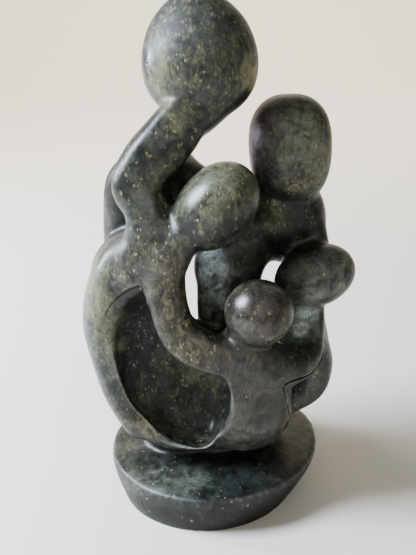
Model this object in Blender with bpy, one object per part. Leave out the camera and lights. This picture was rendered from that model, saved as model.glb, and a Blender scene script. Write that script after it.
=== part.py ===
# Family group carved from one block of serpentine stone: two adults lean over three
# children, on a low round base of the same block. Metres, +Z up, origin at the centre
# of the base's underside, the open side of the group towards -Y.

import math

import bmesh
import bpy
import numpy as np
from mathutils import Matrix, Vector

# Driving sizes

BASE_HEIGHT = 0.0205          # underside to the edge of the round top
BASE_RIM_RADIUS = 0.0507      # widest, at the top edge
BASE_FOOT_RADIUS = 0.0425     # where it meets the ground
BASE_FOOT_SHIFT = (-0.004, -0.003)   # the foot is not quite under the round top
BASE_DOME = 0.0020            # rise of the round top towards its middle
BASE_EDGE_ROUND = 0.0022      # softness of the top edge
FIGURES_HEIGHT = 0.2070       # edge of the base to the crown of the tall adult
STONE_GRAIN = 0.0016          # finest step of the rough carving
CREASE_GRAIN = 0.0006         # finest step of the crease's cutter
FACETS = 9000                 # triangles left on the finished solid
SCOOP_DEPTH = 20              # of the hollow, in parts of the figures' layout
SCOOP_SQUARENESS = 2.6        # 2 makes a round bowl, more makes steep walls
SIDES = 20                    # corners on each ring of a limb before the forms are fused
SPARE = 0.020                 # how far below the ground the trimming block reaches

# The figures are laid out in parts, 207 of them to their height, from the base's edge up
PART = FIGURES_HEIGHT / 207


def clear_scene():
    for item in list(bpy.data.objects):
        bpy.data.objects.remove(item, do_unlink=True)


def link(name, mesh):
    item = bpy.data.objects.new(name, mesh)
    bpy.context.scene.collection.objects.link(item)
    return item


def place(x, y, z):
    """A point of the figures' layout, in metres."""
    return Vector((x * PART, y * PART, BASE_HEIGHT + z * PART))


def spline(stations, steps):
    """Catmull-Rom curve through the stations, each a row of numbers."""
    rows = np.array(stations, dtype=float)
    rows = np.vstack([2 * rows[0] - rows[1], rows, 2 * rows[-1] - rows[-2]])
    out = []
    for i in range(1, len(rows) - 2):
        a, b, c, d = rows[i - 1:i + 3]
        for t in np.linspace(0, 1, steps, endpoint=False):
            out.append(0.5 * (2 * b + (c - a) * t + (2 * a - 5 * b + 4 * c - d) * t ** 2
                              + (3 * b - a - 3 * c + d) * t ** 3))
    out.append(rows[-2])
    return np.array(out)


def rings_to_mesh(bm, rings):
    """Skins closed rings of vertices in order and caps both ends."""
    count = len(rings[0])
    for low, high in zip(rings, rings[1:]):
        for i in range(count):
            j = (i + 1) % count
            bm.faces.new((low[i], low[j], high[j], high[i]))
    bm.faces.new(list(reversed(rings[0])))
    bm.faces.new(rings[-1])


def limb(name, stations, steps=6, ends=1.0, square=2.0):
    """A rounded limb. Each station is x, y, z, half width across the view, half depth.
    ends sets how far its round ends reach, as a share of their radius, and square above 2
    flattens its faces."""
    rows = spline(stations, steps)
    # round ends: a few rings shrink over the end station's own radius
    start, end = rows[0], rows[-1]
    t0 = rows[1][:3] - rows[0][:3]
    t1 = rows[-1][:3] - rows[-2][:3]
    t0 /= np.linalg.norm(t0)
    t1 /= np.linalg.norm(t1)
    head, tail = [], []
    for s in (0.98, 0.85, 0.6, 0.3):
        r = min(start[3], start[4])
        head.append(np.r_[start[:3] - t0 * r * s * ends, start[3:] * math.sqrt(1 - s * s)])
        r = min(end[3], end[4])
        tail.insert(0, np.r_[end[:3] + t1 * r * s * ends, end[3:] * math.sqrt(1 - s * s)])
    rows = np.vstack([head, rows, tail])
    bm = bmesh.new()
    rings = []
    for i, row in enumerate(rows):
        before = rows[max(i - 1, 0)][:3]
        after = rows[min(i + 1, len(rows) - 1)][:3]
        along = Vector(after - before).normalized()
        across = along.cross(Vector((0, 1, 0))).normalized()
        deep = across.cross(along).normalized()
        ring = []
        for k in range(SIDES):
            a = 2 * math.pi * k / SIDES
            c, s = math.cos(a), math.sin(a)
            fill = (abs(c) ** square + abs(s) ** square) ** (-1 / square)
            p = Vector(row[:3]) + (across * row[3] * c + deep * row[4] * s) * fill
            ring.append(bm.verts.new(place(*p)))
        rings.append(ring)
    rings_to_mesh(bm, rings)
    bmesh.ops.recalc_face_normals(bm, faces=bm.faces)
    mesh = bpy.data.meshes.new(name)
    bm.to_mesh(mesh)
    bm.free()
    return link(name, mesh)


def ovoid(name, centre, radii, turn=(0, 0, 0), egg=0.0, square=2.0):
    """An egg. radii along its own x, y, z; egg widens its top; square above 2 fills out its
    shoulders; turn in degrees."""
    bm = bmesh.new()
    bmesh.ops.create_uvsphere(bm, u_segments=32, v_segments=20, radius=1.0)
    for v in bm.verts:
        v.co /= sum(abs(c) ** square for c in v.co) ** (1 / square)
        swell = 1 + egg * v.co.z
        v.co = Vector((v.co.x * radii[0] * swell, v.co.y * radii[1] * swell, v.co.z * radii[2]))
    spin = Matrix.Rotation(math.radians(turn[2]), 4, "Z") @ Matrix.Rotation(
        math.radians(turn[1]), 4, "Y") @ Matrix.Rotation(math.radians(turn[0]), 4, "X")
    for v in bm.verts:
        v.co = place(*(spin @ v.co + Vector(centre)))
    mesh = bpy.data.meshes.new(name)
    bm.to_mesh(mesh)
    bm.free()
    return link(name, mesh)


def base():
    """The round base: flat foot, bulging side that flares out, crisp edge and domed top."""
    side_top = BASE_HEIGHT - BASE_EDGE_ROUND
    spare = 0.003             # below the ground, trimmed off at the end
    profile = [(0, -spare), (BASE_FOOT_RADIUS - 0.001, -spare)]
    for s in np.linspace(0, 1, 10):
        swell = 0.55 * s + 0.45 * math.sin(s * math.pi / 2)
        profile.append((BASE_FOOT_RADIUS + (BASE_RIM_RADIUS - BASE_FOOT_RADIUS) * swell,
                        side_top * s))
    for s in np.linspace(0.25, 1, 4):
        a = s * math.pi / 2
        profile.append((BASE_RIM_RADIUS - BASE_EDGE_ROUND * (1 - math.cos(a)),
                        side_top + BASE_EDGE_ROUND * math.sin(a)))
    edge = BASE_RIM_RADIUS - BASE_EDGE_ROUND
    for s in np.linspace(0.85, 0, 6):
        profile.append((edge * s, BASE_HEIGHT + BASE_DOME * (1 - s * s)))
    bm = bmesh.new()
    verts = [bm.verts.new((r, 0, z)) for r, z in profile]
    edges = [bm.edges.new(pair) for pair in zip(verts, verts[1:])]
    bmesh.ops.spin(bm, geom=verts + edges, cent=(0, 0, 0), axis=(0, 0, 1),
                   angle=2 * math.pi, steps=64)
    bmesh.ops.remove_doubles(bm, verts=bm.verts, dist=1e-6)
    bmesh.ops.recalc_face_normals(bm, faces=bm.faces)
    for v in bm.verts:
        low = max(0.0, 1 - v.co.z / BASE_HEIGHT)
        v.co.x += BASE_FOOT_SHIFT[0] * low
        v.co.y += BASE_FOOT_SHIFT[1] * low
    mesh = bpy.data.meshes.new("base")
    bm.to_mesh(mesh)
    bm.free()
    return link("base", mesh)


def figures():
    forms = []
    # tall adult: head, chin, and three limbs that part below the neck
    forms.append(ovoid("tall head", (2, 0, 181), (24, 21.5, 26), (0, -2, 0), -0.11))
    forms.append(limb("tall chin", [
        (4, -2, 168, 15, 14), (-1, -4, 160, 10.5, 11), (-8, -6, 153, 7.5, 9),
        (-14, -8, 145, 7, 9), (-18, -8, 137, 8, 9)]))
    forms.append(limb("tall front arm", [
        (-5, -14, 163, 6.2, 6), (-10, -15, 157.5, 7.5, 7.5), (-16, -16.5, 151, 8, 8.5),
        (-23.5, -18, 143, 8.8, 9.5), (-27.5, -19, 134, 9.3, 10), (-25, -22, 124, 8.8, 10),
        (-21, -25.5, 112, 11, 10), (-17, -29.5, 99, 8.4, 8), (-16, -33, 86, 8, 7.5),
        (-12, -35, 73.5, 8.2, 7.5), (-2, -37, 65.5, 9, 8), (10, -38, 60, 11, 8),
        (22, -37, 56, 11, 8)], square=2.9))
    forms.append(limb("chest", [
        (-21, -25, 113, 11, 10), (-24.5, -24.5, 104, 13, 10.5), (-26.5, -24, 96, 12.5, 10.5),
        (-27, -23, 88, 10, 9)], square=2.6))
    forms.append(limb("tall back leg", [
        (-18, -6, 146, 8.5, 9), (-23, 0, 138, 11, 9), (-26.5, 7, 127, 16, 10),
        (-30.5, 11, 111, 15, 12), (-34, 12, 86, 13, 14), (-30, 8, 60, 16, 18)]))
    forms.append(limb("tall embrace", [
        (-15, -6, 148, 7, 9), (-11, 3, 140, 6.5, 8.5), (-4, 10, 128, 8, 8),
        (12, 13, 116, 10, 9), (26, 12, 110, 13, 12)]))
    # the tall adult's back and lap, a broad shell on the left
    forms.append(limb("shell", [
        (-28, -14, 104, 11, 12), (-34.5, -8, 95, 14.5, 18), (-35.5, -4, 87, 17.3, 23),
        (-36, -3, 77, 19.3, 25.5), (-35.5, -2, 66, 20.3, 27), (-29, -1, 48, 24.5, 28),
        (-21.5, 0, 31, 27, 27), (-14, 1, 18, 25, 23)]))
    forms.append(limb("shoulder", [
        (-20, -26, 110, 11, 9), (-32, -21, 102, 11, 10), (-42, -17, 89, 10, 12),
        (-46.5, -13, 72, 9, 13), (-45.5, -11, 55, 9, 14), (-41, -12, 36, 9, 14),
        (-33, -14, 22, 10, 14)]))
    forms.append(limb("back of the hollow", [
        (-25, -13, 98, 8, 10), (-23, -14, 86, 8.5, 12), (-18.5, -15, 74, 8.5, 12),
        (-10, -16, 61, 9.5, 13), (3, -17, 50, 12, 14)]))
    forms.append(limb("hem", [
        (-34, -14, 24.5, 9.5, 13.5), (-20, -17.5, 18.8, 9.3, 14.5), (-4, -18.5, 18, 9, 14.5),
        (12, -17, 20, 9, 14), (26, -13, 20.5, 9, 13)]))
    # first child, reaching up to the right out of the crossing
    forms.append(ovoid("first child head", (5.6, -24, 123.8), (14.8, 15, 20.4), (0, 50, 0),
                       0.03, 2.6))
    forms.append(limb("first child neck", [
        (2, -24, 121, 13, 13.5), (-5, -25.5, 118.5, 10.5, 12.5), (-14, -27, 115.5, 8.5, 10)]))
    # small adult: head, torso, two legs, arm that comes round the right side
    forms.append(ovoid("small head", (39.5, 8, 139.5), (18, 18, 23.6), (0, 0, 0), 0.03, 2.5))
    forms.append(ovoid("small torso", (37.5, 10, 108), (18.5, 15, 22), (0, -8, 0), 0.0))
    forms.append(limb("small left leg", [
        (26, 10, 106, 13.5, 12), (17, 8, 97, 15.5, 12), (11, 5, 89, 16.5, 11.5),
        (9.8, 2, 80, 14.9, 10.5), (7.2, 0, 70, 12.4, 10), (6, -2, 58, 11, 10),
        (5, -3, 42, 11.5, 11), (7, -3, 22, 14, 14)]))
    forms.append(limb("small right leg", [
        (46, 12, 100, 9, 10), (46, 14, 84, 7.5, 10), (46.5, 11, 66, 8, 12.5),
        (46.6, -1, 50, 9.8, 21.5), (43.6, -9, 37, 12, 26.5), (37, -10.5, 24, 13, 23),
        (26, -5, 14, 13, 18)]))
    forms.append(limb("small right arm", [
        (48, 6, 104, 7.5, 8), (51, 1, 92, 5.5, 7.5), (48.7, -5, 76, 3.9, 6.5),
        (47, -12, 62, 4.5, 6.5), (42, -22, 52.5, 6.5, 7), (33, -31, 51.5, 8.3, 8),
        (22, -37, 55, 10.5, 8.5)]))
    # apron: the cradle in front, where the arms of both adults meet
    forms.append(limb("apron", [
        (14, -28, 52, 21, 16.5), (14, -27.5, 42, 21.5, 18), (14, -23.5, 31, 21.5, 19.5),
        (13, -16, 22.5, 20, 18), (11, -6, 16, 17, 14)]))
    # second and third child
    forms.append(ovoid("second child head", (21, -36, 82), (14.6, 14, 14.2), (0, 0, 0), 0.0))
    forms.append(limb("second child neck", [
        (16.5, -34, 77, 8, 8), (10.5, -32, 69.5, 7, 7), (6, -32, 63, 8, 8)]))
    forms.append(ovoid("third child head", (47.5, -12, 87.5), (18.3, 15, 13.6), (0, -19, 0), 0.0))
    forms.append(limb("third child body", [
        (42.5, -11, 79.5, 6, 7), (40.5, -11, 65.5, 6, 7), (38.5, -10, 50, 6.5, 8),
        (35, -8, 34, 9, 9), (27, -6, 14, 12, 12)]))
    # waist between the figures and the base
    forms.append(limb("stem", [
        (1, 3, 16, 28, 23), (0, 3, 5, 23.5, 21), (0, 3, -3, 25.5, 23)], ends=0.15))
    return forms


def scoop():
    """Cutter for the deep hollow between the shell and the front arm.
    Its lip runs clockwise from the top; the left side flares so that its edge is soft."""
    lip = [(-26, -28, 91, 1), (-31.5, -26, 86.5, 2), (-37.2, -24, 79, 2), (-40.9, -22, 70, 2),
           (-42, -22, 57, 2), (-40.4, -22, 43, 2), (-37, -23, 33, 2), (-31, -25, 25.5, 2),
           (-23.5, -27, 19, 1), (-14, -30, 14.6, 0.5), (-5.2, -32, 14.5, 0), (0.4, -36, 22.7, 0),
           (5.5, -40, 34.3, 0), (7.3, -42, 42.6, 0), (7.5, -43, 49.7, 0), (4.6, -43, 56.5, 0),
           (-3, -40, 58, 0), (-11.8, -38, 61.8, 0), (-17.8, -37, 67.3, 0),
           (-20.8, -36, 72, 0), (-22.8, -35, 77.5, 0), (-24.2, -34, 85.5, 0)]
    rows = spline(lip + lip[:1], 4)[:-1]
    towards = Vector((0.02, -0.87, 0.49))
    middle = Vector((-15, -30, 46))
    undercut = Vector((9, 0, 6))       # the hollow runs in behind the arm and the apron
    bm = bmesh.new()
    rings = []
    for reach, flare in ((30, 1.0), (12, 0.9), (5, 0.5), (0, 0.1)):
        ring = []
        for row in rows:
            p = Vector(row[:3])
            out = (p - middle).normalized() * float(row[3]) * flare
            ring.append(bm.verts.new(place(*(p + out + towards * reach))))
        rings.append(ring)
    for angle in (6, 15, 24, 33, 42, 51, 60, 68, 76, 84):
        share = math.sin(math.radians(angle))
        bed = middle + (undercut - towards * SCOOP_DEPTH) * share
        width = (1 - share ** SCOOP_SQUARENESS) ** (1 / SCOOP_SQUARENESS)
        shrink = Vector((width, 1 - share, width))     # a level bed, however the lip winds
        rings.append([bm.verts.new(place(*(bed + (Vector(row[:3]) - middle) * shrink)))
                      for row in rows])
    rings_to_mesh(bm, rings)
    bmesh.ops.recalc_face_normals(bm, faces=bm.faces)
    mesh = bpy.data.meshes.new("scoop")
    bm.to_mesh(mesh)
    bm.free()
    return link("scoop", mesh)


def crease():
    """Cutter for the cove that sets the apron and the arm off from the leg on the right.
    It is remeshed, because its limb folds over itself at the tight bend."""
    cutter = limb("crease", [
        (52, -14, 62, 1.8, 4.5), (50, -19, 58.5, 1.8, 4.5), (47.6, -25.5, 53.5, 1.7, 4),
        (43.7, -31.5, 49.8, 1.6, 3.5), (40.2, -35.5, 48.8, 1.6, 3.5), (36, -38.5, 49.3, 1.6, 3),
        (32.5, -40.5, 48.5, 1.6, 3), (31.3, -40, 45.5, 1.6, 3), (32, -38.5, 41, 1.5, 2.6),
        (34, -36, 34, 1.5, 2.5), (35.5, -33, 27, 1.5, 2.5), (36, -30, 20, 1.5, 2.5),
        (36, -27, 14, 1.6, 2.5)])
    add_fuse(cutter, "one skin", CREASE_GRAIN)
    return cutter


def ground():
    """Cutter that leaves the underside flat."""
    bm = bmesh.new()
    bmesh.ops.create_cube(bm, size=1)
    for v in bm.verts:
        v.co = Vector((v.co.x * 4 * BASE_RIM_RADIUS, v.co.y * 4 * BASE_RIM_RADIUS,
                       (v.co.z - 0.5) * SPARE))
    mesh = bpy.data.meshes.new("ground")
    bm.to_mesh(mesh)
    bm.free()
    return link("ground", mesh)


def join(name, items):
    """One mesh from several, still as overlapping closed bodies."""
    bm = bmesh.new()
    for item in items:
        bm.from_mesh(item.data)
        bpy.data.objects.remove(item, do_unlink=True)
    mesh = bpy.data.meshes.new(name)
    bm.to_mesh(mesh)
    bm.free()
    return link(name, mesh)


def add_cut(item, cutter):
    cut = item.modifiers.new(cutter.name, "BOOLEAN")
    cut.operation = "DIFFERENCE"
    cut.object = cutter
    cutter.hide_render = True
    cutter.display_type = "WIRE"


def add_smooth(item, name, passes):
    soften = item.modifiers.new(name, "SMOOTH")
    soften.factor = 0.5
    soften.iterations = passes


def add_fuse(item, name, grain):
    fuse = item.modifiers.new(name, "REMESH")
    fuse.mode = "VOXEL"
    fuse.voxel_size = grain


def stone_material():
    """Waxed dark grey-green serpentine."""
    stone = bpy.data.materials.new("waxed serpentine")
    stone.use_nodes = True
    surface = stone.node_tree.nodes["Principled BSDF"]
    surface.inputs["Base Color"].default_value = (0.072, 0.083, 0.070, 1.0)
    surface.inputs["Roughness"].default_value = 0.4
    surface.inputs["Metallic"].default_value = 0.0
    return stone


def count_triangles(item):
    seen = item.evaluated_get(bpy.context.evaluated_depsgraph_get())
    mesh = seen.to_mesh()
    mesh.calc_loop_triangles()
    count = len(mesh.loop_triangles)
    seen.to_mesh_clear()
    return count


def main():
    clear_scene()
    stone = join("family_group", figures() + [base()])
    stone.data.materials.append(stone_material())
    add_fuse(stone, "rough out", STONE_GRAIN)
    add_smooth(stone, "rasp", 8)
    add_cut(stone, scoop())
    add_cut(stone, crease())
    add_fuse(stone, "dress", STONE_GRAIN * 0.85)
    add_smooth(stone, "polish", 2)
    bpy.context.view_layer.update()
    thin = stone.modifiers.new("facets", "DECIMATE")
    thin.ratio = 1.0
    thin.ratio = min(1.0, FACETS / count_triangles(stone))
    add_cut(stone, ground())


main()
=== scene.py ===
import math

import bmesh
import bpy
import numpy as np
from mathutils import Euler, Matrix, Vector, noise
from mathutils.bvhtree import BVHTree


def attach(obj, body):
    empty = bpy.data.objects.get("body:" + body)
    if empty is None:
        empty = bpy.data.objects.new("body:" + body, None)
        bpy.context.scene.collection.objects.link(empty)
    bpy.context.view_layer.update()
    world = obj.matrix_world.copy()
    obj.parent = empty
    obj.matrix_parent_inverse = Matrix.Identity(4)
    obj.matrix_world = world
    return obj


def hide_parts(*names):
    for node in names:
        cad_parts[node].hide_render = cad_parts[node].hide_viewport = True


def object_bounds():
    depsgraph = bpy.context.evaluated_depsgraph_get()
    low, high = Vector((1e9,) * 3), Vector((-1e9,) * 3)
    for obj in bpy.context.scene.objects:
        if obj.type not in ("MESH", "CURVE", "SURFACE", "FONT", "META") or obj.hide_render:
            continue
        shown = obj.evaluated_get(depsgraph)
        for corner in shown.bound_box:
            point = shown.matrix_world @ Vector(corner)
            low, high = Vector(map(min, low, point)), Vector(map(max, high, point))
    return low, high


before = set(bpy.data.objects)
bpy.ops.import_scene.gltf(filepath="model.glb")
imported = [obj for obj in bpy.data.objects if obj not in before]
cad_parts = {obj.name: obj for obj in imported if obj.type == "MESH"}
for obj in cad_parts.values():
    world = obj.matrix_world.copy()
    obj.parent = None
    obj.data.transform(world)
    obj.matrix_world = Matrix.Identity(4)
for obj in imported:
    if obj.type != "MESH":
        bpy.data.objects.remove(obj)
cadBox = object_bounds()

# A family group carved from one block of waxed serpentine. The figures are laid out in
# millimetres from the middle of the base, with z counted up from the edge of its round top.

mm = 0.001
baseHeight = 20.5

carving = {
    "roughGrain": 1.5,        # mm, the step at which the forms are first fused
    "rasping": 8,             # smoothing passes that make the fillets between the forms
    "fineGrain": 0.82,        # mm, the step after the hollow is cut
    "polishing": 2,           # smoothing passes that round the arrises to about a millimetre
    "triangles": 190000,      # before the grooves are cut
    "ringSides": 40,          # corners on each ring of a limb
    "handWobble": 0.16,       # mm, how uneven the hand leaves the surface
    "wobbleSize": 11.0,       # mm, from one rise to the next
    "capSteps": (0.995, 0.96, 0.88, 0.74, 0.55, 0.3),    # rings that round the end of a limb
}


def hexColour(code):
    parts = [int(code[i:i + 2], 16) / 255 for i in (1, 3, 5)]
    linear = [c / 12.92 if c <= 0.04045 else ((c + 0.055) / 1.055) ** 2.4 for c in parts]
    return (*linear, 1.0)


def linkMesh(name, bm):
    mesh = bpy.data.meshes.new(name)
    bm.to_mesh(mesh)
    bm.free()
    item = bpy.data.objects.new(name, mesh)
    bpy.context.scene.collection.objects.link(item)
    return item


def place(x, y, z):
    return Vector((x * mm, y * mm, (baseHeight + z) * mm))


def smoothRows(stations, steps):
    # Catmull-Rom curve through the stations, each a row of numbers
    rows = np.array(stations, dtype=float)
    rows = np.vstack([2 * rows[0] - rows[1], rows, 2 * rows[-1] - rows[-2]])
    curve = []
    for i in range(1, len(rows) - 2):
        a, b, c, d = rows[i - 1:i + 3]
        for t in np.linspace(0, 1, steps, endpoint=False):
            curve.append(0.5 * (2 * b + (c - a) * t + (2 * a - 5 * b + 4 * c - d) * t ** 2
                                + (3 * b - a - 3 * c + d) * t ** 3))
    curve.append(rows[-2])
    return np.array(curve)


def skinRings(bm, rings):
    count = len(rings[0])
    for low, high in zip(rings, rings[1:]):
        for i in range(count):
            j = (i + 1) % count
            bm.faces.new((low[i], low[j], high[j], high[i]))
    bm.faces.new(list(reversed(rings[0])))
    bm.faces.new(rings[-1])
    bmesh.ops.recalc_face_normals(bm, faces=bm.faces)


def makeLimb(name, stations, steps=10, roundEnds=1.0, square=2.0):
    # each station is x, y, z, half width across the view and half depth, in mm
    rows = smoothRows(stations, steps)
    first, last = rows[0], rows[-1]
    outward = [first[:3] - rows[1][:3], last[:3] - rows[-2][:3]]
    outward = [v / np.linalg.norm(v) for v in outward]
    head, tail = [], []
    for s in carving["capSteps"]:
        shrink = math.sqrt(1 - s * s)
        reach = min(first[3], first[4]) * s * roundEnds
        head.append(np.r_[first[:3] + outward[0] * reach, first[3:] * shrink])
        reach = min(last[3], last[4]) * s * roundEnds
        tail.insert(0, np.r_[last[:3] + outward[1] * reach, last[3:] * shrink])
    rows = np.vstack([head, rows, tail])
    bm = bmesh.new()
    rings = []
    for i, row in enumerate(rows):
        along = Vector(rows[min(i + 1, len(rows) - 1)][:3] - rows[max(i - 1, 0)][:3]).normalized()
        across = along.cross(Vector((0, 1, 0))).normalized()
        deep = across.cross(along).normalized()
        ring = []
        for k in range(carving["ringSides"]):
            a = 2 * math.pi * k / carving["ringSides"]
            c, s = math.cos(a), math.sin(a)
            fill = (abs(c) ** square + abs(s) ** square) ** (-1 / square)
            point = Vector(row[:3]) + (across * row[3] * c + deep * row[4] * s) * fill
            ring.append(bm.verts.new(place(*point)))
        rings.append(ring)
    skinRings(bm, rings)
    return linkMesh(name, bm)


def makeOvoid(name, centre, radii, turn=(0, 0, 0), egg=0.0, square=2.0):
    # egg widens the top, square above 2 fills out the shoulders, turn is in degrees
    bm = bmesh.new()
    bmesh.ops.create_uvsphere(bm, u_segments=72, v_segments=48, radius=1.0)
    spin = Euler([math.radians(a) for a in turn], "XYZ").to_matrix()
    for v in bm.verts:
        v.co /= sum(abs(c) ** square for c in v.co) ** (1 / square)
        swell = 1 + egg * v.co.z
        local = Vector((v.co.x * radii[0] * swell, v.co.y * radii[1] * swell, v.co.z * radii[2]))
        v.co = place(*(spin @ local + Vector(centre)))
    return linkMesh(name, bm)


# The tall adult: head, chin, the front arm that crosses to the apron, the back leg, the
# embrace behind, and the broad back and lap.

tallAdult = {
    "head": {"centre": (2, 0, 181), "radii": (24, 21.5, 26), "turn": (0, -2, 0), "egg": -0.11},
    "chin": [(4, -3, 168, 15, 15), (-1, -7, 160, 10.5, 13), (-8, -9, 153, 7.5, 11),
             (-14, -8, 145, 7, 9), (-18, -8, 137, 8, 9)],
    "frontArm": {"square": 2.9, "stations": [
        (-2.5, -14, 163, 8.7, 6), (-7, -15, 157.5, 10.5, 7.5), (-13, -16.5, 151, 11, 8.5),
        (-21.3, -18, 143, 10.7, 9.5), (-26.8, -19, 134, 9.7, 10), (-22.8, -22, 124, 8.6, 10),
        (-21, -25.5, 112, 11, 10), (-17, -29.5, 99, 8.4, 8), (-16, -33, 86, 8, 7.5),
        (-12, -35, 73.5, 8.2, 7.5), (-2, -37, 65.5, 9, 8), (10, -38, 60, 11, 8),
        (22, -37, 56, 11, 8)]},
    "chest": {"square": 2.6, "stations": [
        (-21, -25, 113, 11, 10), (-24.5, -24.5, 104, 13, 10.5), (-26.5, -24, 96, 12.5, 10.5),
        (-27, -23, 88, 10, 9)]},
    "backLeg": [(-18, -6, 146, 8.5, 9), (-23, 0, 138, 11, 9), (-26.5, 7, 127, 16, 10),
                (-30.5, 11, 111, 15, 12), (-34, 12, 86, 13, 14), (-30, 8, 60, 16, 18)],
    "embrace": [(-15, -6, 148, 7, 9), (-11, 3, 140, 6.5, 8.5), (-4, 10, 128, 8, 8),
                (12, 13, 116, 10, 9), (26, 12, 110, 13, 12)],
    "innerArm": [(-12, 4, 136, 6, 7), (-8, 5, 126, 6.5, 7), (-4, 7, 116, 7, 7)],
    "back": [(-28, -14, 104, 11, 12), (-34.5, -8, 95, 14.5, 18), (-35.5, -4, 87, 17.3, 23),
             (-36, -3, 77, 19.3, 25.5), (-35.5, -2, 66, 20.3, 27), (-29, -1, 48, 24.5, 28),
             (-21.5, 0, 31, 27, 27), (-14, 1, 18, 25, 23)],
    "shoulder": [(-22, -25, 107, 13, 10), (-32.5, -19, 99, 13.5, 13.5), (-40.5, -16, 87, 12, 15),
                 (-46, -13, 72, 9.8, 14), (-45.5, -11, 55, 9, 14), (-41, -12, 36, 9, 14),
                 (-33, -14, 22, 10, 14)],
    "innerWall": [(-25, -13, 98, 8, 10), (-23, -14, 86, 8.5, 12), (-18.5, -15, 74, 8.5, 12),
                  (-10, -16, 61, 9.5, 13), (3, -17, 50, 12, 14)],
    "hem": [(-34, -14, 24.5, 9.5, 13.5), (-20, -17.5, 18.8, 9.3, 14.5), (-4, -18.5, 18, 9, 14.5),
            (12, -17, 20, 9, 14), (26, -13, 20.5, 9, 13)],
}

# The smaller adult on the right, whose arm comes round to the apron in front.

smallAdult = {
    "head": {"centre": (39.5, 8, 139.5), "radii": (18, 18, 23.6), "egg": 0.03, "square": 2.5},
    "torso": {"centre": (37.5, 10, 108), "radii": (18.5, 15, 22), "turn": (0, -8, 0)},
    "leftLeg": [(26, 10, 106, 13.5, 12), (17, 8, 97, 15.5, 12), (11, 5, 89, 16.5, 11.5),
                (9.8, 2, 80, 14.9, 10.5), (7.2, 0, 70, 12.4, 10), (6, -2, 58, 11, 10),
                (5, -3, 42, 11.5, 11), (7, -3, 22, 14, 14)],
    "rightLeg": [(46, 12, 100, 9, 10), (46, 14, 84, 7.5, 10), (46.5, 11, 66, 8, 12.5),
                 (46.5, 0, 50, 9, 20), (45.7, -6, 42, 10.4, 21), (42.5, -8, 34, 10.4, 17),
                 (34.5, -8, 27.5, 8.4, 15), (25, -5, 20, 9, 15)],
    "arm": [(48, 6, 104, 7.5, 8), (51, 1, 92, 5.5, 7.5), (48.5, -6, 78, 4, 6.5),
            (48, -12, 68, 4.3, 7), (46, -17, 60, 5, 8), (42, -23, 55.5, 6.8, 8.5),
            (35.5, -29, 53.5, 8.7, 8.7), (22, -37, 55, 10.5, 8.5)],
    "apron": [(14, -28, 52, 21, 16.5), (14, -27.5, 42, 21.5, 18), (14, -23.5, 31, 21.5, 19.5),
              (13, -16, 22.5, 20, 18), (11, -6, 16, 17, 14)],
}

# The children: one reaches up in the middle, one sits in front, one leans on the right.

children = {
    "firstHead": {"centre": (5.4, -24.5, 125), "radii": (15.2, 16, 20.2), "turn": (0, 46, 0),
                  "egg": 0.0, "square": 2.1},
    "firstNeck": [(-1, -25, 119, 10, 11.5), (-9.5, -26.5, 113.5, 8.8, 10.5),
                  (-16, -28.5, 104, 9.5, 10)],
    "secondHead": {"centre": (21, -36, 82), "radii": (14.6, 14, 14.2)},
    "secondNeck": [(18, -31, 76, 7.5, 7), (12, -31, 68, 7, 7), (6, -32, 62, 8, 8)],
    "thirdHead": {"centre": (47.5, -12, 87.5), "radii": (18.3, 15, 13.6), "turn": (0, -19, 0)},
    "thirdBody": [(42.5, -11, 79.5, 6, 7), (40.3, -12.5, 70, 6.3, 7.5), (37, -14, 61, 5.7, 7.5),
                  (34.5, -13, 50, 7, 8), (31, -9, 34, 9, 9), (25, -6, 14, 12, 12)],
}

# The round base, in mm, and the waist that carries the group.

plinth = {
    "rimRadius": 50.7,
    "footRadius": 42.5,
    "footShift": (-4, -3),    # the foot is not quite under the round top
    "dome": 2.0,              # rise of the top towards its middle
    "edgeRound": 1.6,
    "sideFullness": 0.45,     # 0 is a straight side, 1 a quarter round
    "spare": 3,               # stone left under the foot, to be sawn off flat
    "turns": 128,             # steps round the base
    "waist": [(1, 3, 16, 28, 23), (0, 3, 5, 23.5, 21), (0, 3, -3, 25.5, 23)],
}


def makePlinth():
    sideTop = baseHeight - plinth["edgeRound"]
    flare = plinth["rimRadius"] - plinth["footRadius"]
    full = plinth["sideFullness"]
    profile = [(0, -plinth["spare"]), (plinth["footRadius"] - 1, -plinth["spare"])]
    for s in np.linspace(0, 1, 16):
        swell = (1 - full) * s + full * math.sin(s * math.pi / 2)
        profile.append((plinth["footRadius"] + flare * swell, sideTop * s))
    for s in np.linspace(0.2, 1, 5):
        a = s * math.pi / 2
        profile.append((plinth["rimRadius"] - plinth["edgeRound"] * (1 - math.cos(a)),
                        sideTop + plinth["edgeRound"] * math.sin(a)))
    edge = plinth["rimRadius"] - plinth["edgeRound"]
    for s in np.linspace(0.9, 0, 8):
        profile.append((edge * s, baseHeight + plinth["dome"] * (1 - s * s)))
    bm = bmesh.new()
    verts = [bm.verts.new((r * mm, 0, z * mm)) for r, z in profile]
    edges = [bm.edges.new(pair) for pair in zip(verts, verts[1:])]
    bmesh.ops.spin(bm, geom=verts + edges, cent=(0, 0, 0), axis=(0, 0, 1),
                   angle=2 * math.pi, steps=plinth["turns"])
    bmesh.ops.remove_doubles(bm, verts=bm.verts, dist=1e-6)
    bmesh.ops.recalc_face_normals(bm, faces=bm.faces)
    for v in bm.verts:
        low = max(0.0, 1 - v.co.z / (baseHeight * mm))
        v.co.x += plinth["footShift"][0] * mm * low
        v.co.y += plinth["footShift"][1] * mm * low
    return linkMesh("plinth", bm)


# The deep hollow between the back and the front arm. The lip runs clockwise from the top, and
# the fourth number softens it outwards: broad on the left, crisp along the arm and the apron.

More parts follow.
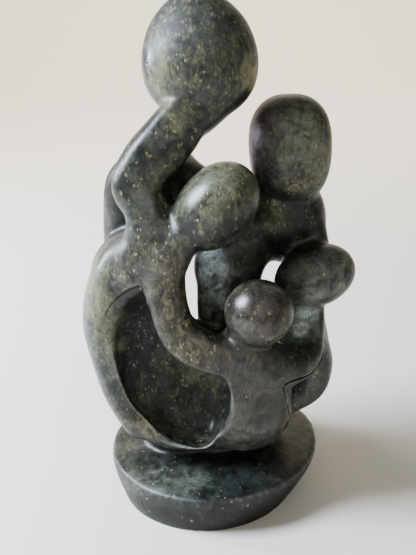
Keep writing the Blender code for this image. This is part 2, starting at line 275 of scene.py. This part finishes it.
hollow = {
    "lip": [(-26, -28, 91, 2), (-31, -26, 86.5, 4), (-36, -24, 79, 6), (-39.4, -22, 70, 7),
            (-40.5, -22, 57, 7), (-39, -22, 44, 7), (-35.8, -23, 34, 7), (-30, -25, 27, 6),
            (-23, -27, 20.5, 4), (-14, -30, 15.6, 2), (-5.2, -32, 14.7, 2), (0.4, -36, 22.7, 2),
            (5.5, -40, 34.3, 2), (7.3, -42, 42.6, 2), (7.5, -43, 49.7, 1.6), (4.6, -43, 56.5, 0.7),
            (-3, -40, 58, 0.5), (-11.8, -38, 61.8, 0.4), (-17.8, -37, 67.3, 0.8),
            (-20.8, -36, 72, 1.2), (-22.8, -35, 77.5, 1.4), (-24.2, -34, 85.5, 1.4)],
    "middle": (-15, -30, 46),
    "towards": (0.02, -0.87, 0.49),     # the way that the hollow faces
    "depth": 22,
    "undercut": (9, 0, 6),              # it runs in behind the arm and the apron
    "squareness": 2.6,                  # 2 is a round bowl, more has steep walls
    "leastRoll": 0.3,                   # mm, even the crispest lip is rubbed by this much
    "rollDepth": 1.15,                  # how deep the rounding of the lip is for its width
    # rings of the rounding, from well outside the stone in to the wall: the rise as a share of
    # the rounding's depth, and mm to spare in front of it
    "roll": [(1, 40), (1, 0.4), (0.96, 0.3), (0.85, 0.2), (0.65, 0.1), (0.35, 0), (0, 0)],
}


def makeHollow():
    rows = smoothRows(hollow["lip"] + hollow["lip"][:1], 6)[:-1]
    towards = Vector(hollow["towards"])
    middle = Vector(hollow["middle"])
    bm = bmesh.new()
    rings = []
    for rise, clear in hollow["roll"]:
        ring = []
        for row in rows:
            point = Vector(row[:3])
            width = max(hollow["leastRoll"], float(row[3]))
            soften = (point - middle).normalized() * width * (1 - math.sqrt(1 - rise ** 2))
            reach = rise * width * hollow["rollDepth"] + clear
            ring.append(bm.verts.new(place(*(point + soften + towards * reach))))
        rings.append(ring)
    for share in [math.sin(math.radians(a)) for a in np.linspace(5, 84, 18)]:
        bed = middle + (Vector(hollow["undercut"]) - towards * hollow["depth"]) * share
        width = (1 - share ** hollow["squareness"]) ** (1 / hollow["squareness"])
        shrink = Vector((width, 1 - share, width))     # the bed is level, however the lip winds
        rings.append([bm.verts.new(place(*(bed + (Vector(row[:3]) - middle) * shrink)))
                      for row in rows])
    skinRings(bm, rings)
    return linkMesh("hollow", bm)


# The crease along the small adult's arm, the faint ring on its head, the crack in the leg
# behind and the chip in the base. They are drawn as seen from the front, as x, z, radius and
# depth in mm, and cut where the line meets the stone.

grooves = {
    "armEdge": [(51.2, 59.5, 0.4, 0.2), (49.6, 55.5, 0.6, 0.3), (48.1, 53, 0.75, 0.5),
                (46, 51.7, 0.75, 0.5), (43.7, 50.8, 0.75, 0.4), (40.5, 50.6, 0.75, 0.4),
                (36.7, 51, 0.75, 0.4), (33, 51, 0.7, 0.3), (30.8, 49.8, 0.65, 0.2),
                (30.3, 47.6, 0.55, 0.1), (31.4, 42.8, 0.5, 0), (32.5, 35.8, 0.5, 0),
                (33.7, 27.7, 0.45, -0.1)],
    "ring": [(39.4 + 3.2 * math.cos(a), 126 + 2.5 * math.sin(a), 0.5,
              -0.25 + 0.12 * math.sin(3 * a)) for a in np.linspace(-2.2, 3.0, 14)],
    "chip": [(-34.9, -9.6, 0.3, -0.1), (-34.5, -10.8, 0.4, -0.1), (-34, -12.4, 0.3, -0.1)],
    "crack": [(-2.6, 79.8, 0.3, 0), (-0.5, 80.7, 0.4, 0.1), (1.6, 81.5, 0.4, 0.1),
              (3.6, 82.8, 0.35, 0.1), (6, 84.3, 0.3, 0)],
}

chisel = {
    "startsAt": -90,          # mm in y, in front of everything
    "deeper": 1.5,            # depth of the blade for its width
    "grain": 0.25,            # mm
}


def makeGroove(name, stations, stone):
    tree = BVHTree.FromPolygons([v.co for v in stone.data.vertices],
                                [p.vertices for p in stone.data.polygons])
    rows = []
    for x, z, radius, depth in smoothRows(stations, 6):
        hit = tree.ray_cast(place(x, chisel["startsAt"], z), Vector((0, 1, 0)))[0]
        rows.append((x, hit.y / mm + depth, z, radius, chisel["deeper"] * radius))
    groove = makeLimb(name, rows, steps=2)
    addFuse(groove, "oneSkin", chisel["grain"])
    applyAll(groove, name + ":")
    return groove


def addFuse(item, name, grain):
    fuse = item.modifiers.new(name, "REMESH")
    fuse.mode = "VOXEL"
    fuse.voxel_size = grain * mm


def addSmooth(item, name, passes):
    soften = item.modifiers.new(name, "SMOOTH")
    soften.factor = 0.5
    soften.iterations = passes


def applyAll(item, stage):
    seen = item.evaluated_get(bpy.context.evaluated_depsgraph_get())
    mesh = bpy.data.meshes.new_from_object(seen)
    item.modifiers.clear()
    item.data = mesh
    print(stage, len(mesh.polygons), "faces", flush=True)


def cutAway(item, cutter):
    cut = item.modifiers.new(cutter.name, "BOOLEAN")
    cut.operation = "DIFFERENCE"
    cut.object = cutter
    applyAll(item, cutter.name + " cut:")
    bpy.data.objects.remove(cutter, do_unlink=True)


def joinPieces(name, items):
    bm = bmesh.new()
    for item in items:
        bm.from_mesh(item.data)
        bpy.data.objects.remove(item, do_unlink=True)
    return linkMesh(name, bm)


def makeFigures():
    forms = []
    for figure in (tallAdult, smallAdult, children):
        for name, form in figure.items():
            if isinstance(form, list):
                forms.append(makeLimb(name, form))
            elif "stations" in form:
                forms.append(makeLimb(name, **form))
            else:
                forms.append(makeOvoid(name, **form))
    forms.append(makeLimb("waist", plinth["waist"], roundEnds=0.15))
    return forms


def readVectors(items, name):
    values = np.empty(len(items) * 3)
    items.foreach_get(name, values)
    return values.reshape(-1, 3)


def wobble(mesh):
    # the hand and the rasp leave broad, shallow rises and falls
    points = readVectors(mesh.vertices, "co")
    normals = readVectors(mesh.vertices, "normal")
    size = carving["wobbleSize"] * mm
    rises = np.array([noise.noise(Vector(p / size)) for p in points])
    points += normals * (rises * carving["handWobble"] * mm)[:, None]
    mesh.vertices.foreach_set("co", points.ravel())
    mesh.update()


def fitInside(mesh, low, high):
    # a hair smaller where the smooth stone would stand out of the plain solid
    points = readVectors(mesh.vertices, "co")
    for axis in range(3):
        least, most = points[:, axis].min(), points[:, axis].max()
        scale = min(1.0, (high[axis] - low[axis]) / (most - least))
        points[:, axis] = (points[:, axis] - least) * scale + max(least, low[axis])
        points[:, axis] -= max(0.0, points[:, axis].max() - high[axis])
    mesh.vertices.foreach_set("co", points.ravel())


def makeGround():
    # a block that reaches down from z = 0, to saw the underside flat
    size = 0.4
    bm = bmesh.new()
    bmesh.ops.create_cube(bm, size=size)
    for v in bm.verts:
        v.co.z -= size / 2
    return linkMesh("ground", bm)


def carveStone():
    stone = joinPieces("carvedStone", makeFigures() + [makePlinth()])
    addFuse(stone, "roughOut", carving["roughGrain"])
    addSmooth(stone, "rasp", carving["rasping"])
    applyAll(stone, "figures fused:")
    cutAway(stone, makeHollow())
    addFuse(stone, "dress", carving["fineGrain"])
    addSmooth(stone, "polish", carving["polishing"])
    applyAll(stone, "dressed:")
    wobble(stone.data)
    thin = stone.modifiers.new("thin", "DECIMATE")
    thin.ratio = min(1.0, carving["triangles"] / (2 * len(stone.data.polygons)))
    applyAll(stone, "thinned:")
    for name, stations in grooves.items():
        cutAway(stone, makeGroove(name, stations, stone))
    cutAway(stone, makeGround())
    fitInside(stone.data, *cadBox)
    stone.data.shade_smooth()
    return stone


def addNode(tree, kind, settings=None, links=None):
    # settings with a number or a socket name as the key fill a socket, the rest are properties
    node = tree.nodes.new(kind)
    for key, value in (settings or {}).items():
        if isinstance(key, int) or key in node.inputs:
            node.inputs[key].default_value = value
        else:
            setattr(node, key, value)
    for key, source in (links or {}).items():
        tree.links.new(source, node.inputs[key])
    return node


# Serpentine, rasped, wet-sanded and waxed: near-black green with clouds of grey and brown,
# yellow-green mottling and ochre flecks, under a soft gloss, with a pale highlight painted along
# the arrises.

serpentine = {
    "ground": [(0.30, "#161a1a"), (0.44, "#2b302c"), (0.56, "#3f413a"), (0.70, "#4c4943")],
    "cloudSize": 21,          # mm
    "driftSize": 9,           # mm, waves in the clouds' outlines
    "drift": 16,              # mm, from one end of a wave to the other
    "grainSize": 0.75,        # mm, salt and pepper; real grit is finer, and wouldn't show
    "grainRange": (0.62, 1.42),
    "scratch": (0.45, 4.5),   # mm, width and length of the sanding marks, also drawn coarse
    "moss": ["#565945", "#8c8b6b"],
    "mossSize": 3.4,          # mm
    "mossRise": 0.55,         # below 1 the moss is drawn out up the stone
    "mossShare": 0.34,        # how far the moss follows the flecks
    "mossRange": (0.60, 0.78),
    "mossMost": 0.8,          # the stone still shows a little through the thickest of it
    "blotchSize": 6.0,        # mm, darker and lighter blotches within each cloud
    "blotchFrom": (0.36, 0.66),
    "blotchRange": (0.36, 1.6),
    "cloudEdge": (1.5, 0.45),        # where a cloud fades out and where it is full, in half sizes
    "marksRange": (0.72, 1.28),      # grain and sanding marks together, from low to high
    "fleckSize": (1.4, 2.4),  # mm across and up the stone
    "fleckEdge": (0.56, 0.42),       # from the rim of a fleck to where it is full
    "fleckShrink": 0.24,      # the clearer a fleck is, the smaller
    "fleckFray": (0.8, 2.2),  # mm, size and reach of the waves in their outlines
    "fleckShare": 0.16,       # of all places for a fleck, where no cloud says otherwise
    "flecks": [(0.0, "#a9a384"), (0.35, "#8f8c66"), (0.65, "#a2946b"), (0.9, "#8c7650")],
    # painted highlight: the pale colour laid along the sharpest edges
    "arrisHighlight": "#a2a9a4",
    "arrisHighlightRange": (0.512, 0.572),    # how sharp an edge has to be, 0.5 is flat
    "arrisHighlightShare": 0.85,
    "ior": 1.54,
    "roughness": 0.36,
    "roughnessRange": 0.10,   # between the finest and the coarsest grain
    "bump": (0.3, 0.12),      # strength, and mm from the bottom of a sanding mark to its top
}

# Clouds in the block: centre and half sizes in mm in the figures' layout, colour, how much of
# it shows, the share of places that hold a fleck, and the roughness of the waxed surface there.
# A few of them are painted shade or a painted sheen, as marked.

clouds = {
    "tallHead": ((3, -14, 183), (26, 16, 28), "#42453f", 0.75, 0.3, 0.46),
    "headLeftStripe": ((-13, -14, 184), (3, 12, 26), "#5a5f48", 0.7, 0.46, 0.42),
    # painted shade on the top left of the tall head, holding back the light that falls there
    "headTopLeftShade": ((-9, -10, 201), (13, 16, 12), "#2b2e2b", 0.85, 0.3, 0.6),
    "headLeft": ((-23, -6, 182), (5, 12, 20), "#474d4c", 0.7, 0.12, 0.2),
    "headRightCream": ((21, -8, 174), (4, 12, 7), "#8d8868", 0.6, 0.8, 0.5),
    # painted shade under the right side of the tall head, near black where it overhangs the chin
    "headLowerRightShade": ((19, -8, 161), (10, 14, 6), "#1a1d1b", 0.8, 0.2, 0.4),
    "neck": ((-14, -15, 146), (9, 12, 14), "#2f322e", 0.6, 0.14, 0.34),
    "neckStripe": ((-9, -17, 158), (4, 8, 9), "#5e6145", 0.6, 0.5, 0.4),
    # painted shade: the back leg is made near black, as though the arm and shoulder kept the light
    # off it
    "backLeg": ((-32, 6, 122), (12, 20, 24), "#0f1211", 0.94, 0.04, 0.4),
    "smallHead": ((38, -6, 142), (18, 16, 22), "#5f5f57", 0.75, 0.22, 0.5),
    "smallHeadLeft": ((25, 0, 150), (6, 18, 16), "#56494b", 0.75, 0.1, 0.5),
    "smallHeadRight": ((48, -6, 142), (9, 14, 20), "#565c4c", 0.6, 0.4, 0.5),
    # painted shade under the small head, near black where it overhangs
    "smallHeadFootShade": ((31, -8, 127), (12, 12, 8), "#1c1f1c", 0.7, 0.3, 0.5),
    "smallTorso": ((36, -2, 108), (18, 16, 18), "#1d2120", 0.85, 0.12, 0.42),
    "torsoPatch": ((30, -6, 112), (8, 8, 7), "#5d5f43", 0.45, 0.4, 0.42),
    "firstHead": ((2, -34, 136), (22, 16, 13), "#4b5247", 0.75, 0.5, 0.3),
    # painted shade under the first child's head, near black
    "firstHeadFootShade": ((15, -36, 117), (20, 18, 9.5), "#0d0c09", 0.95, 0.2, 0.5),
    "chest": ((-22, -34, 106), (13, 12, 16), "#4a4842", 0.75, 0.35, 0.44),
    "shellRim": ((-46, -22, 84), (9, 16, 24), "#626a55", 0.7, 0.62, 0.3),
    "shellEdge": ((-54, -8, 62), (7, 22, 44), "#4a5656", 0.75, 0.3, 0.34),
    "lowerLip": ((-30, -34, 26), (16, 10, 8), "#4b4232", 0.75, 0.4, 0.4),
    "strip": ((-15, -40, 84), (9, 8, 18), "#37332a", 0.8, 0.38, 0.48),
    "stripFoot": ((-4, -44, 68), (10, 8, 7), "#473d2b", 0.65, 0.45, 0.48),
    "apron": ((15, -44, 50), (22, 14, 26), "#3f3c34", 0.9, 0.05, 0.48),
    # painted shade on the left wall of the hollow, which the rim keeps from the light
    "hollowLeftShade": ((-30, -18, 62), (10, 10, 26), "#12181a", 0.85, 0.22, 0.6),
    "hollowBed": ((-12, -14, 42), (16, 12, 20), "#272d26", 0.8, 0.3, 0.7),
    "underArm": ((-8, -24, 52), (7, 8, 5), "#6b7157", 0.6, 0.5, 0.5),
    "secondHead": ((21, -46, 84), (15, 10, 15), "#45413a", 0.85, 0.12, 0.28),
    "thirdHead": ((47, -20, 88), (18, 12, 14), "#64665e", 0.7, 0.12, 0.36),
    # a painted bluish sheen on the third child's body, pale where the light catches it
    "thirdBody": ((39, -18, 67), (7, 8, 12), "#8b9996", 0.85, 0.4, 0.24),
    # a painted sheen: the column is made pale blue-grey for the light it catches on its left side
    "columnSheen": ((1, -10, 88), (9, 10, 18), "#aab5b0", 0.85, 0.22, 0.28),
    # a pale patch that the stone has, made brighter as part of the column's painted sheen
    "columnPale": ((0, -12, 96), (5, 6, 6), "#a3a482", 0.6, 0.6, 0.35),
    "plinthTop": ((6, -30, 0), (44, 30, 5), "#242a28", 0.8, 0.03, 0.36),
    "plinthDust": ((-24, -36, 1), (20, 12, 5), "#5f645a", 0.55, 0.15, 0.45),
    "plinthRight": ((36, -14, 1), (15, 26, 5), "#46463f", 0.8, 0.05, 0.42),
    "ringStain": ((39.4, -12, 127), (6, 8, 5), "#6f6f55", 0.6, 0.4, 0.5),
    "bedMoss": ((-2, -12, 46), (9, 12, 11), "#4f543f", 0.55, 0.5, 0.5),
    "leg": ((46, -14, 34), (14, 20, 20), "#3b423b", 0.75, 0.12, 0.45),
    # painted shade keeping the side of the base near black in spite of the pale floor below it
    "plinthSideShade": ((8, -40, -14), (60, 34, 11), "#100f09", 0.95, 0.02, 0.6),
}


def fillRamp(ramp, stops):
    while len(ramp.color_ramp.elements) < len(stops):
        ramp.color_ramp.elements.new(0.5)
    for element, (position, colour) in zip(ramp.color_ramp.elements, stops):
        element.position = position
        element.color = hexColour(colour)


def layClouds(tree, look, where):
    # the clouds' outlines wander by a few millimetres
    drift = addNode(tree, "ShaderNodeTexNoise", {
        "Scale": 1 / (look["driftSize"] * mm), "Detail": 4.0}, {"Vector": where})
    bent = addNode(tree, "ShaderNodeVectorMath", {
        "operation": "MULTIPLY_ADD", 1: (look["drift"] * mm,) * 3},
        {0: drift.outputs["Color"], 2: where}).outputs[0]
    meanDrift = Vector((look["drift"] / 2,) * 3) * mm

    # ground: black, green, grey and brown stone, running softly into each other
    cloud = addNode(tree, "ShaderNodeTexNoise", {
        "Scale": 1 / (look["cloudSize"] * mm), "Detail": 6.0, "Roughness": 0.66,
        "Distortion": 0.5}, {"Vector": where})
    ramp = addNode(tree, "ShaderNodeValToRGB", links={"Fac": cloud.outputs["Fac"]})
    fillRamp(ramp, look["ground"])
    colour = ramp.outputs["Color"]
    share = gloss = None
    for centre, size, tint, strength, flecks, dull in clouds.values():
        centre = place(*centre) + meanDrift
        scale = Vector([1 / (r * mm) for r in size])
        local = addNode(tree, "ShaderNodeVectorMath", {
            "operation": "MULTIPLY_ADD", 1: scale, 2: -centre * scale}, {0: bent})
        away = addNode(tree, "ShaderNodeVectorMath", {"operation": "LENGTH"}, {0: local.outputs[0]})
        inside = addNode(tree, "ShaderNodeMapRange", {
            "From Min": look["cloudEdge"][0], "From Max": look["cloudEdge"][1],
            "interpolation_type": "SMOOTHSTEP"}, {"Value": away.outputs["Value"]})
        soft = addNode(tree, "ShaderNodeMath", {"operation": "MULTIPLY", 1: strength},
                       {0: inside.outputs["Result"]})
        colour = addNode(tree, "ShaderNodeMix", {"data_type": "RGBA", 7: hexColour(tint)},
                         {"Factor": soft.outputs[0], 6: colour}).outputs[2]
        mix = addNode(tree, "ShaderNodeMix", {2: look["fleckShare"], 3: flecks},
                      {"Factor": inside.outputs["Result"]})
        wax = addNode(tree, "ShaderNodeMix", {2: look["roughness"], 3: dull},
                      {"Factor": inside.outputs["Result"]})
        if share is not None:
            tree.links.new(share, mix.inputs[2])
            tree.links.new(gloss, wax.inputs[2])
        share = mix.outputs[0]
        gloss = wax.outputs[0]

    blotch = addNode(tree, "ShaderNodeTexNoise", {
        "Scale": 1 / (look["blotchSize"] * mm), "Detail": 5.0, "Roughness": 0.6,
        "Distortion": 0.8}, {"Vector": where})
    blotches = addNode(tree, "ShaderNodeMapRange", {
        "From Min": look["blotchFrom"][0], "From Max": look["blotchFrom"][1],
        "To Min": look["blotchRange"][0], "To Max": look["blotchRange"][1]},
        {"Value": blotch.outputs["Fac"]})
    colour = addNode(tree, "ShaderNodeMix", {
        "data_type": "RGBA", "blend_type": "MULTIPLY", "Factor": 1.0},
        {6: colour, 7: blotches.outputs["Result"]}).outputs[2]
    return colour, share, gloss


def layMarks(tree, look, where, colour):
    # salt and pepper grain, and sanding marks that run up the stone
    grain = addNode(tree, "ShaderNodeTexNoise", {
        "Scale": 1 / (look["grainSize"] * mm), "Detail": 3.0, "Roughness": 0.75},
        {"Vector": where})
    wide, long = look["scratch"]
    stretched = addNode(tree, "ShaderNodeVectorMath", {
        "operation": "MULTIPLY", 1: (1 / (wide * mm), 1 / (wide * mm), 1 / (long * mm))},
        {0: where})
    scratch = addNode(tree, "ShaderNodeTexNoise", {"Scale": 1.0, "Detail": 2.0},
                      {"Vector": stretched.outputs[0]})
    marks = addNode(tree, "ShaderNodeMath", {"operation": "ADD"},
                    {0: grain.outputs["Fac"], 1: scratch.outputs["Fac"]})
    speckle = addNode(tree, "ShaderNodeMapRange", {
        "From Min": look["marksRange"][0], "From Max": look["marksRange"][1],
        "To Min": look["grainRange"][0], "To Max": look["grainRange"][1]},
        {"Value": marks.outputs[0]})
    colour = addNode(tree, "ShaderNodeMix", {
        "data_type": "RGBA", "blend_type": "MULTIPLY", "Factor": 1.0},
        {6: colour, 7: speckle.outputs["Result"]}).outputs[2]
    return colour, grain.outputs["Fac"], marks.outputs[0]


def layMoss(tree, look, where, colour, share, grain):
    # mossy mottling, more of it where the flecks are many, drawn out up the stone
    upright = addNode(tree, "ShaderNodeVectorMath", {
        "operation": "MULTIPLY", 1: (1, 1, look["mossRise"])}, {0: where})
    moss = addNode(tree, "ShaderNodeTexNoise", {
        "Scale": 1 / (look["mossSize"] * mm), "Detail": 7.0, "Roughness": 0.78,
        "Distortion": 0.7}, {"Vector": upright.outputs[0]})
    level = addNode(tree, "ShaderNodeMath", {"operation": "MULTIPLY_ADD", 1: look["mossShare"]},
                    {0: share, 2: moss.outputs["Fac"]})
    veil = addNode(tree, "ShaderNodeMapRange", {
        "From Min": look["mossRange"][0], "From Max": look["mossRange"][1],
        "To Max": look["mossMost"]}, {"Value": level.outputs[0]})
    tint = addNode(tree, "ShaderNodeMix", {
        "data_type": "RGBA", 6: hexColour(look["moss"][0]), 7: hexColour(look["moss"][1])},
        {"Factor": grain})
    return addNode(tree, "ShaderNodeMix", {"data_type": "RGBA"},
                   {"Factor": veil.outputs["Result"], 6: colour, 7: tint.outputs[2]}).outputs[2]


def layFlecks(tree, look, where, colour, share):
    # ragged flecks, longer up the stone than across it, some of them ochre and some olive
    fraySize, frayReach = look["fleckFray"]
    ragged = addNode(tree, "ShaderNodeTexNoise", {"Scale": 1 / (fraySize * mm), "Detail": 3.0},
                     {"Vector": where})
    nudged = addNode(tree, "ShaderNodeVectorMath", {
        "operation": "MULTIPLY_ADD", 1: (frayReach * mm,) * 3},
        {0: ragged.outputs["Color"], 2: where})
    wide, long = look["fleckSize"]
    cells = addNode(tree, "ShaderNodeVectorMath", {
        "operation": "MULTIPLY", 1: (1 / (wide * mm), 1 / (wide * mm), 1 / (long * mm))},
        {0: nudged.outputs[0]})
    fleck = addNode(tree, "ShaderNodeTexVoronoi", {"Scale": 1.0}, {"Vector": cells.outputs[0]})
    draw = addNode(tree, "ShaderNodeSeparateColor", links={"Color": fleck.outputs["Color"]})
    there = addNode(tree, "ShaderNodeMath", {"operation": "LESS_THAN"},
                    {0: draw.outputs[0], 1: share})
    reach = addNode(tree, "ShaderNodeMath", {"operation": "MULTIPLY_ADD", 1: look["fleckShrink"]},
                    {0: draw.outputs[2], 2: fleck.outputs["Distance"]})
    edge = addNode(tree, "ShaderNodeMapRange", {
        "From Min": look["fleckEdge"][0], "From Max": look["fleckEdge"][1]},
        {"Value": reach.outputs[0]})
    mask = addNode(tree, "ShaderNodeMath", {"operation": "MULTIPLY"},
                   {0: there.outputs[0], 1: edge.outputs["Result"]})
    faint = addNode(tree, "ShaderNodeMath", {"operation": "MULTIPLY"},
                    {0: mask.outputs[0], 1: draw.outputs[2]})
    ramp = addNode(tree, "ShaderNodeValToRGB", links={"Fac": draw.outputs[1]})
    fillRamp(ramp, look["flecks"])
    return addNode(tree, "ShaderNodeMix", {"data_type": "RGBA"},
                   {"Factor": faint.outputs[0], 6: colour, 7: ramp.outputs["Color"]}).outputs[2]


def paintArrisHighlights(tree, look, colour):
    # a pale highlight is painted along the arrises, in place of the bright line that the light
    # draws on their rounding
    bend = addNode(tree, "ShaderNodeNewGeometry")
    highlightMask = addNode(tree, "ShaderNodeMapRange", {
        "From Min": look["arrisHighlightRange"][0], "From Max": look["arrisHighlightRange"][1],
        "To Max": look["arrisHighlightShare"], "interpolation_type": "SMOOTHSTEP"},
        {"Value": bend.outputs["Pointiness"]})
    return addNode(tree, "ShaderNodeMix", {"data_type": "RGBA", 7: hexColour(look["arrisHighlight"])},
                   {"Factor": highlightMask.outputs["Result"], 6: colour}).outputs[2]


def makeSerpentine():
    material = bpy.data.materials.new("waxedSerpentine")
    material.use_nodes = True
    tree = material.node_tree
    shader = tree.nodes["Principled BSDF"]
    look = serpentine
    shader.inputs["IOR"].default_value = look["ior"]
    shader.inputs["Metallic"].default_value = 0.0
    where = addNode(tree, "ShaderNodeTexCoord").outputs["Object"]
    colour, share, gloss = layClouds(tree, look, where)
    colour, grain, marks = layMarks(tree, look, where, colour)
    colour = layMoss(tree, look, where, colour, share, grain)
    colour = layFlecks(tree, look, where, colour, share)
    colour = paintArrisHighlights(tree, look, colour)
    tree.links.new(colour, shader.inputs["Base Color"])

    # the gloss is a little uneven, and the sanding marks can just be felt
    uneven = addNode(tree, "ShaderNodeMapRange", {
        "From Min": look["marksRange"][0], "From Max": look["marksRange"][1],
        "To Min": -look["roughnessRange"] / 2, "To Max": look["roughnessRange"] / 2},
        {"Value": marks})
    rough = addNode(tree, "ShaderNodeMath", {"operation": "ADD"},
                    {0: gloss, 1: uneven.outputs["Result"]})
    tree.links.new(rough.outputs[0], shader.inputs["Roughness"])
    strength, rise = look["bump"]
    bump = addNode(tree, "ShaderNodeBump", {"Strength": strength, "Distance": rise * mm},
                   {"Height": marks})
    tree.links.new(bump.outputs["Normal"], shader.inputs["Normal"])
    print("waxed serpentine:", len(tree.nodes), "nodes", flush=True)
    return material


# A plain pale floor that sweeps up into a plain backdrop. Soft light comes from a panel high on
# the left, with a narrow one behind it, a weak broad one in front and one on the backdrop.

studio = {
    "floor": "#e6e2da",
    "air": "#e2e0da",
    "airStrength": 0.30,
    "sweep": {"front": -2.5, "radius": 1.2, "top": 3.0, "halfWidth": 4},     # m
    "panels": [
        # place and aim in m, width and height in m, watts, colour
        ((-0.62, -0.10, 0.62), (0, 0, 0.11), (0.30, 0.42), 17, "#e6eeff"),
        ((-0.78, 0.25, 0.31), (0, 0, 0.19), (0.08, 0.24), 5.0, "#e6eeff"),
        ((0.30, -1.10, 0.75), (0, 0, 0.11), (1.20, 1.00), 4.5, "#f6f4f0"),
        ((0.0, 0.55, 1.3), (0, 2.2, 0.6), (2.4, 0.6), 56, "#fff6e6"),
    ],
}


def makePanel(name, spot, aim, size, watts, colour):
    lamp = bpy.data.lights.new(name, "AREA")
    lamp.shape = "RECTANGLE"
    lamp.size, lamp.size_y = size
    lamp.energy = watts
    lamp.color = hexColour(colour)[:3]
    holder = bpy.data.objects.new(name, lamp)
    holder.location = spot
    holder.rotation_euler = (Vector(aim) - Vector(spot)).to_track_quat("-Z", "Y").to_euler()
    bpy.context.scene.collection.objects.link(holder)


def makeStudio():
    # the floor sweeps up into the backdrop far behind
    sweep = studio["sweep"]
    radius, side = sweep["radius"], sweep["halfWidth"]
    profile = [(sweep["front"], 0)]
    for a in np.linspace(0, math.pi / 2, 24):
        profile.append((radius + radius * math.sin(a), radius - radius * math.cos(a)))
    profile.append((2 * radius, sweep["top"]))
    bm = bmesh.new()
    rows = [[bm.verts.new((x, y, z)) for x in (-side, side)] for y, z in profile]
    for near, far in zip(rows, rows[1:]):
        bm.faces.new((near[0], near[1], far[1], far[0]))
    floor = linkMesh("floor", bm)
    floor.data.shade_smooth()
    paint = bpy.data.materials.new("matteFloor")
    paint.use_nodes = True
    shader = paint.node_tree.nodes["Principled BSDF"]
    shader.inputs["Base Color"].default_value = hexColour(studio["floor"])
    shader.inputs["Roughness"].default_value = 0.8
    floor.data.materials.append(paint)
    for i, panel in enumerate(studio["panels"]):
        makePanel("panel%d" % (i + 1), *panel)
    world = bpy.data.worlds.new("softAir")
    world.use_nodes = True
    sky = world.node_tree.nodes["Background"]
    sky.inputs["Color"].default_value = hexColour(studio["air"])
    sky.inputs["Strength"].default_value = studio["airStrength"]
    bpy.context.scene.world = world
    bpy.context.scene.view_settings.look = "AgX - Medium High Contrast"
    print("studio:", len(studio["panels"]), "panels", flush=True)


# Camera: in front and a little above, looking down, held with a slight roll.

eye = {
    "place": (0.0008, -0.3158, 0.2330),
    "down": 22.1,             # degrees
    "roll": 3.0,
    "lens": 48.65,            # mm on a 36 mm tall frame
}


def makeCamera():
    camera = bpy.data.cameras.new("eye")
    camera.sensor_width = 36
    camera.lens = eye["lens"]
    camera.clip_start = 0.01
    holder = bpy.data.objects.new("eye", camera)
    tilt = Euler((math.pi / 2 - math.radians(eye["down"]), 0, 0)).to_matrix().to_4x4()
    holder.matrix_world = (Matrix.Translation(eye["place"]) @ tilt
                           @ Matrix.Rotation(-math.radians(eye["roll"]), 4, "Z"))
    bpy.context.scene.collection.objects.link(holder)
    bpy.context.scene.camera = holder
    print("camera:", eye["lens"], "mm lens", flush=True)


stone = carveStone()
stone.data.materials.clear()
stone.data.materials.append(makeSerpentine())
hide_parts("family_group")
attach(stone, "root")
makeStudio()
makeCamera()
